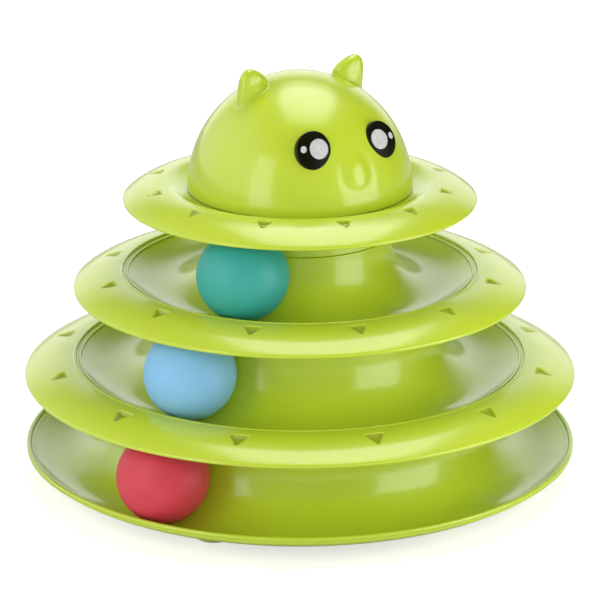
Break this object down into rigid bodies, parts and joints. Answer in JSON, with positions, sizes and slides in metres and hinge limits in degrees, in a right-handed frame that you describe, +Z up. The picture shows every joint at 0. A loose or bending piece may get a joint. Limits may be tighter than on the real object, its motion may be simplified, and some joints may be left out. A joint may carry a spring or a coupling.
{
  "type": "cat ball track toy",
  "caption": "Stacked round tower of ring-shaped tracks with a captive rattle ball in each, sloping brims and a domed cat-head cap, for a cat to bat the balls round.",
  "frame": {"origin": "on the floor under the middle of the tower", "axes": "+Z up along the tower's axis, -Y the way the cat's face looks, +X to the right of someone who faces it"},
  "size_m": [0.2484, 0.2484, 0.1891],
  "materials": {
    "green_shell": "glossy lime green injection-moulded plastic",
    "eye_black": "gloss black",
    "print_white": "slightly grainy white print",
    "red_ball": "satin coral red plastic",
    "blue_ball": "satin light blue plastic",
    "teal_ball": "satin teal plastic",
    "bell_brass": "bright pressed brass",
    "pellet_steel": "bare steel",
    "pad_rubber": "matte pale grey soft rubber"
  },
  "bodies": {
    "base": {"base_tray": "green_shell", "foot_pad_1": "pad_rubber", "foot_pad_2": "pad_rubber", "foot_pad_3": "pad_rubber", "foot_pad_4": "pad_rubber", "foot_pad_5": "pad_rubber", "foot_pad_6": "pad_rubber"},
    "middle_tier": {"middle_tray": "green_shell"},
    "upper_tier": {"upper_tray": "green_shell"},
    "cap": {"cap_brim": "green_shell", "head_dome": "green_shell", "left_eye": "eye_black", "right_eye": "eye_black", "left_eye_print": "print_white", "right_eye_print": "print_white"},
    "red_bell": {"red_ball_bell": "bell_brass", "red_ball_pellet": "pellet_steel"},
    "red_ball": {"red_ball_outer_half": "red_ball", "red_ball_inner_half": "red_ball"},
    "blue_bell": {"blue_ball_bell": "bell_brass", "blue_ball_pellet": "pellet_steel"},
    "blue_ball": {"blue_ball_outer_half": "blue_ball", "blue_ball_inner_half": "blue_ball"},
    "teal_bell": {"teal_ball_bell": "bell_brass", "teal_ball_pellet": "pellet_steel"},
    "teal_ball": {"teal_ball_outer_half": "teal_ball", "teal_ball_inner_half": "teal_ball"}
  },
  "joints": [
    {"name": "middle_tier_lift", "type": "slide", "parent": "base", "child": "middle_tier", "axis": [0, 0, 1], "range_m": [0, 0.06]},
    {"name": "upper_tier_lift", "type": "slide", "parent": "middle_tier", "child": "upper_tier", "axis": [0, 0, 1], "range_m": [0, 0.06]},
    {"name": "cap_lift", "type": "slide", "parent": "upper_tier", "child": "cap", "axis": [0, 0, 1], "range_m": [0, 0.06]},
    {"name": "red_ball_circle", "type": "hinge", "parent": "base", "child": "red_bell", "pos_m": [0, 0, 0.02815], "axis": [0, 0, 1], "continuous": true},
    {"name": "red_ball_roll", "type": "hinge", "parent": "red_bell", "child": "red_ball", "pos_m": [-0.09547, -0.04371, 0.02815], "axis": [-0.9092, -0.4163, 0], "continuous": true},
    {"name": "blue_ball_circle", "type": "hinge", "parent": "middle_tier", "child": "blue_bell", "pos_m": [0, 0, 0.06814], "axis": [0, 0, 1], "continuous": true},
    {"name": "blue_ball_roll", "type": "hinge", "parent": "blue_bell", "child": "blue_ball", "pos_m": [-0.07594, -0.03349, 0.06814], "axis": [-0.915, -0.4035, 0], "continuous": true},
    {"name": "teal_ball_circle", "type": "hinge", "parent": "upper_tier", "child": "teal_bell", "pos_m": [0, 0, 0.10813], "axis": [0, 0, 1], "continuous": true},
    {"name": "teal_ball_roll", "type": "hinge", "parent": "teal_bell", "child": "teal_ball", "pos_m": [-0.05015, -0.03473, 0.10813], "axis": [-0.8221, -0.5693, 0], "continuous": true}
  ],
  "couplings": [
    {"joint": "red_ball_roll", "follows": "red_ball_circle", "ratio": -5.25},
    {"joint": "blue_ball_roll", "follows": "blue_ball_circle", "ratio": -4.15},
    {"joint": "teal_ball_roll", "follows": "teal_ball_circle", "ratio": -3.05}
  ]
}
